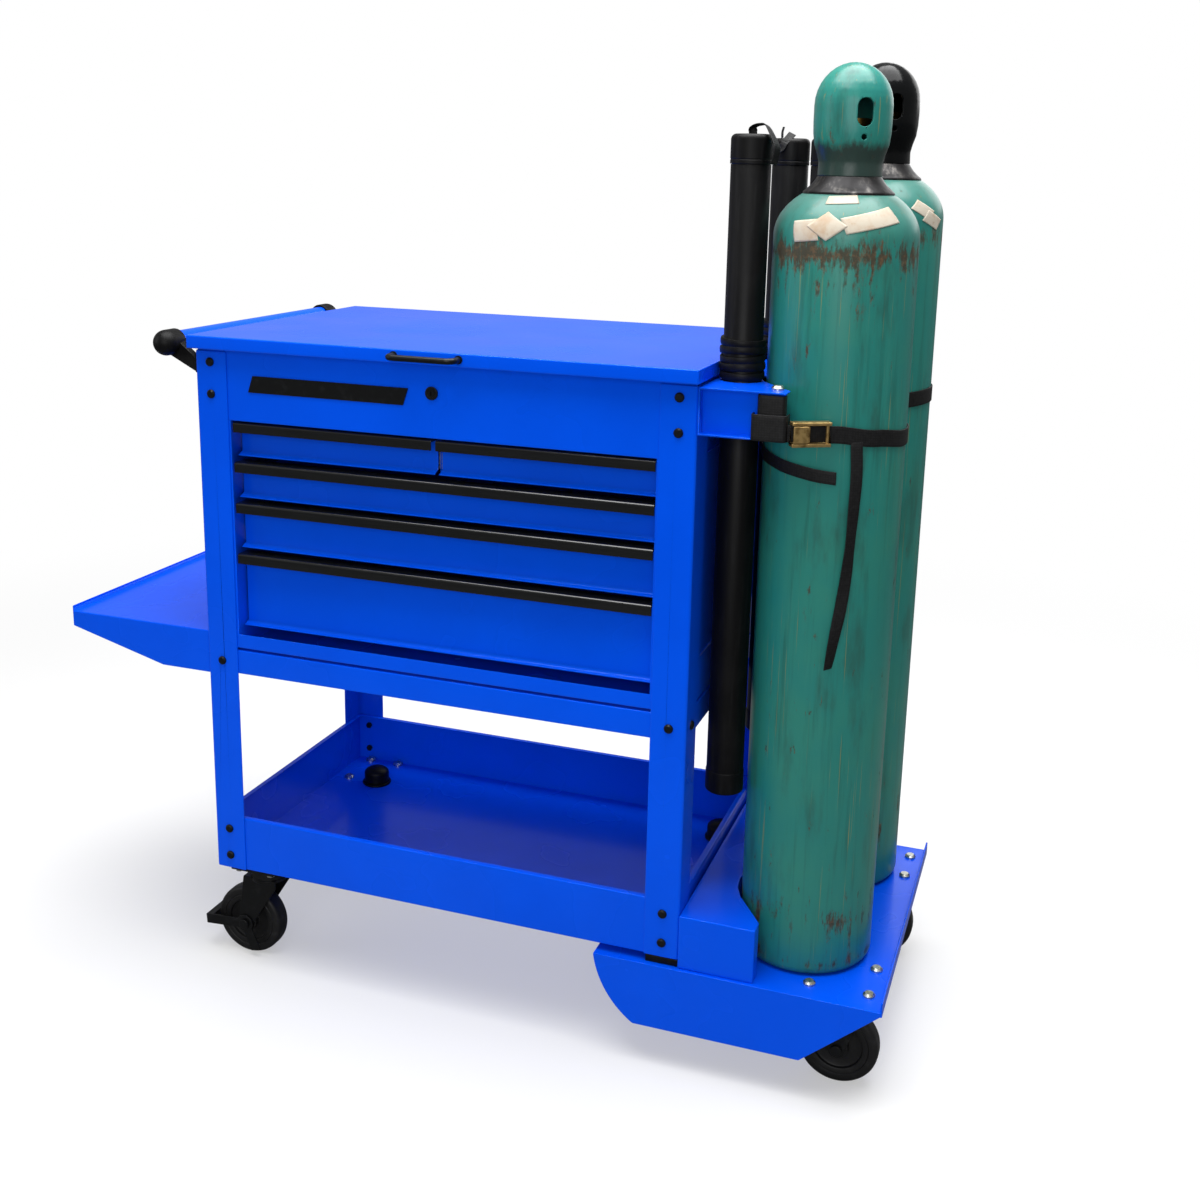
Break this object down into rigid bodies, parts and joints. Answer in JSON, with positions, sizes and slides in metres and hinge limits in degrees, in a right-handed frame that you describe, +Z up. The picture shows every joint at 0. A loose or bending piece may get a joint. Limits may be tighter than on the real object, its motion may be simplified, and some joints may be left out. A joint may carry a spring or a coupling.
{
  "type": "welding cart",
  "caption": "Workshop cart with drawers, lift-up lid, lower tray and side shelf, and a strapped carrier for gas cylinders and filler rod tubes.",
  "frame": {"origin": "on the floor under the centre of the outline", "axes": "+X towards the cylinders, the drawers open towards -Y, +Z up"},
  "size_m": [1.443, 0.5958, 1.569],
  "materials": {
    "blue_paint": "gloss powder coat",
    "black_metal": "satin",
    "zinc_steel": "zinc plated",
    "wheel_rubber": "matt",
    "tube_plastic": "satin",
    "black_plastic": "satin",
    "webbing": "woven",
    "brass": "worn brass plate",
    "teal_paint": "worn enamel"
  },
  "bodies": {
    "frame": {"corner_posts": "blue_paint", "cross_members": "blue_paint", "lower_tray": "blue_paint", "bolt_covers": "black_plastic", "cabinet": "blue_paint", "fixed_slides": "zinc_steel", "lock_housing": "black_metal", "cabinet_hinge_leaf": "zinc_steel", "frame_bolts": "black_metal", "side_shelf": "blue_paint", "push_handle": "blue_paint", "push_handle_ends": "black_plastic", "cylinder_tray": "blue_paint", "cradle": "blue_paint", "tube_bracket": "blue_paint", "zinc_bolts": "zinc_steel", "cylinder_straps": "webbing", "strap_tail": "webbing", "buckle_frame": "brass", "caster_plates": "black_metal"},
    "lid": {"lid": "blue_paint", "lid_hinge_leaf": "zinc_steel", "lid_handle": "black_metal"},
    "lock_plug": {"lock_plug": "black_metal"},
    "buckle_lever": {"buckle_lever": "brass"},
    "top_left_drawer": {"top_left_box": "blue_paint", "top_left_trim": "black_metal"},
    "top_left_slides": {"top_left_slides": "zinc_steel"},
    "top_right_drawer": {"top_right_box": "blue_paint", "top_right_trim": "black_metal"},
    "top_right_slides": {"top_right_slides": "zinc_steel"},
    "second_drawer": {"second_box": "blue_paint", "second_trim": "black_metal"},
    "second_slides": {"second_slides": "zinc_steel"},
    "third_drawer": {"third_box": "blue_paint", "third_trim": "black_metal"},
    "third_slides": {"third_slides": "zinc_steel"},
    "deep_drawer": {"deep_box": "blue_paint", "deep_trim": "black_metal"},
    "deep_slides": {"deep_slides": "zinc_steel"},
    "front_swivel": {"front_fork": "black_metal"},
    "front_brake": {"front_brake": "black_metal"},
    "front_left_wheel": {"front_left_wheel": "wheel_rubber"},
    "front_right_wheel": {"front_right_wheel": "wheel_rubber"},
    "front_cylinder": {"front_cylinder": "teal_paint", "front_valve": "brass"},
    "front_cap": {"front_cap": "teal_paint"},
    "rear_swivel": {"rear_fork": "black_metal"},
    "rear_brake": {"rear_brake": "black_metal"},
    "rear_left_wheel": {"rear_left_wheel": "wheel_rubber"},
    "rear_right_wheel": {"rear_right_wheel": "wheel_rubber"},
    "rear_cylinder": {"rear_cylinder": "teal_paint", "rear_valve": "brass"},
    "rear_cap": {"rear_cap": "black_metal"},
    "rod_tube_1": {"rod_tube_1": "tube_plastic"},
    "rod_tube_cap_1": {"rod_tube_cap_1": "tube_plastic"},
    "rod_tube_2": {"rod_tube_2": "tube_plastic"},
    "rod_tube_cap_2": {"rod_tube_cap_2": "tube_plastic"},
    "rod_tube_3": {"rod_tube_3": "tube_plastic"},
    "rod_tube_cap_3": {"rod_tube_cap_3": "tube_plastic"}
  },
  "joints": [
    {"name": "lid_hinge", "type": "hinge", "parent": "frame", "child": "lid", "pos_m": [-0.0205, 0.26285, 1.113], "axis": [-1, 0, 0], "range_deg": [0, 80]},
    {"name": "top_left_drawer_slide", "type": "slide", "parent": "frame", "child": "top_left_drawer", "axis": [0, -1, 0], "range_m": [0, 0.38]},
    {"name": "top_left_middle_slide", "type": "slide", "parent": "frame", "child": "top_left_slides", "axis": [0, -1, 0], "range_m": [0, 0.19]},
    {"name": "top_right_drawer_slide", "type": "slide", "parent": "frame", "child": "top_right_drawer", "axis": [0, -1, 0], "range_m": [0, 0.38]},
    {"name": "top_right_middle_slide", "type": "slide", "parent": "frame", "child": "top_right_slides", "axis": [0, -1, 0], "range_m": [0, 0.19]},
    {"name": "second_drawer_slide", "type": "slide", "parent": "frame", "child": "second_drawer", "axis": [0, -1, 0], "range_m": [0, 0.38]},
    {"name": "second_middle_slide", "type": "slide", "parent": "frame", "child": "second_slides", "axis": [0, -1, 0], "range_m": [0, 0.19]},
    {"name": "third_drawer_slide", "type": "slide", "parent": "frame", "child": "third_drawer", "axis": [0, -1, 0], "range_m": [0, 0.38]},
    {"name": "third_middle_slide", "type": "slide", "parent": "frame", "child": "third_slides", "axis": [0, -1, 0], "range_m": [0, 0.19]},
    {"name": "deep_drawer_slide", "type": "slide", "parent": "frame", "child": "deep_drawer", "axis": [0, -1, 0], "range_m": [0, 0.38]},
    {"name": "deep_middle_slide", "type": "slide", "parent": "frame", "child": "deep_slides", "axis": [0, -1, 0], "range_m": [0, 0.19]},
    {"name": "lock_turn", "type": "hinge", "parent": "frame", "child": "lock_plug", "pos_m": [-0.0205, -0.24765, 1.056], "axis": [0, 1, 0], "range_deg": [0, 90]},
    {"name": "buckle_release", "type": "hinge", "parent": "frame", "child": "buckle_lever", "pos_m": [0.55636, -0.23993, 1.038], "axis": [0, 0, 1], "range_deg": [0, 90]},
    {"name": "front_swivel_turn", "type": "hinge", "parent": "frame", "child": "front_swivel", "pos_m": [-0.3755, -0.19015, 0.15], "axis": [0, 0, 1], "continuous": true},
    {"name": "front_left_roll", "type": "hinge", "parent": "front_swivel", "child": "front_left_wheel", "pos_m": [-0.4125, -0.19015, 0.0635], "axis": [0, 1, 0], "continuous": true},
    {"name": "front_brake_press", "type": "hinge", "parent": "front_swivel", "child": "front_brake", "pos_m": [-0.4125, -0.19015, 0.0635], "axis": [0, -1, 0], "range_deg": [0, 20]},
    {"name": "front_right_roll", "type": "hinge", "parent": "frame", "child": "front_right_wheel", "pos_m": [0.6495, -0.18115, 0.0635], "axis": [0, 1, 0], "continuous": true},
    {"name": "front_cylinder_lift", "type": "slide", "parent": "frame", "child": "front_cylinder", "axis": [0, 0, 1], "range_m": [0, 0.3]},
    {"name": "front_cap_lift", "type": "slide", "parent": "front_cylinder", "child": "front_cap", "axis": [0, 0, 1], "range_m": [0, 0.2]},
    {"name": "rear_swivel_turn", "type": "hinge", "parent": "frame", "child": "rear_swivel", "pos_m": [-0.3755, 0.19785, 0.15], "axis": [0, 0, 1], "continuous": true},
    {"name": "rear_left_roll", "type": "hinge", "parent": "rear_swivel", "child": "rear_left_wheel", "pos_m": [-0.4125, 0.19785, 0.0635], "axis": [0, 1, 0], "continuous": true},
    {"name": "rear_brake_press", "type": "hinge", "parent": "rear_swivel", "child": "rear_brake", "pos_m": [-0.4125, 0.19785, 0.0635], "axis": [0, -1, 0], "range_deg": [0, 20]},
    {"name": "rear_right_roll", "type": "hinge", "parent": "frame", "child": "rear_right_wheel", "pos_m": [0.6495, 0.21985, 0.0635], "axis": [0, 1, 0], "continuous": true},
    {"name": "rear_cylinder_lift", "type": "slide", "parent": "frame", "child": "rear_cylinder", "axis": [0, 0, 1], "range_m": [0, 0.3]},
    {"name": "rear_cap_lift", "type": "slide", "parent": "rear_cylinder", "child": "rear_cap", "axis": [0, 0, 1], "range_m": [0, 0.2]},
    {"name": "rod_tube_1_lift", "type": "slide", "parent": "frame", "child": "rod_tube_1", "axis": [0, 0, 1], "range_m": [0, 0.3]},
    {"name": "rod_tube_cap_1_lift", "type": "slide", "parent": "rod_tube_1", "child": "rod_tube_cap_1", "axis": [0, 0, 1], "range_m": [0, 0.1]},
    {"name": "rod_tube_2_lift", "type": "slide", "parent": "frame", "child": "rod_tube_2", "axis": [0, 0, 1], "range_m": [0, 0.3]},
    {"name": "rod_tube_cap_2_lift", "type": "slide", "parent": "rod_tube_2", "child": "rod_tube_cap_2", "axis": [0, 0, 1], "range_m": [0, 0.1]},
    {"name": "rod_tube_3_lift", "type": "slide", "parent": "frame", "child": "rod_tube_3", "axis": [0, 0, 1], "range_m": [0, 0.3]},
    {"name": "rod_tube_cap_3_lift", "type": "slide", "parent": "rod_tube_3", "child": "rod_tube_cap_3", "axis": [0, 0, 1], "range_m": [0, 0.1]}
  ],
  "couplings": [
    {"joint": "top_left_middle_slide", "follows": "top_left_drawer_slide", "ratio": 0.5},
    {"joint": "top_right_middle_slide", "follows": "top_right_drawer_slide", "ratio": 0.5},
    {"joint": "second_middle_slide", "follows": "second_drawer_slide", "ratio": 0.5},
    {"joint": "third_middle_slide", "follows": "third_drawer_slide", "ratio": 0.5},
    {"joint": "deep_middle_slide", "follows": "deep_drawer_slide", "ratio": 0.5}
  ]
}
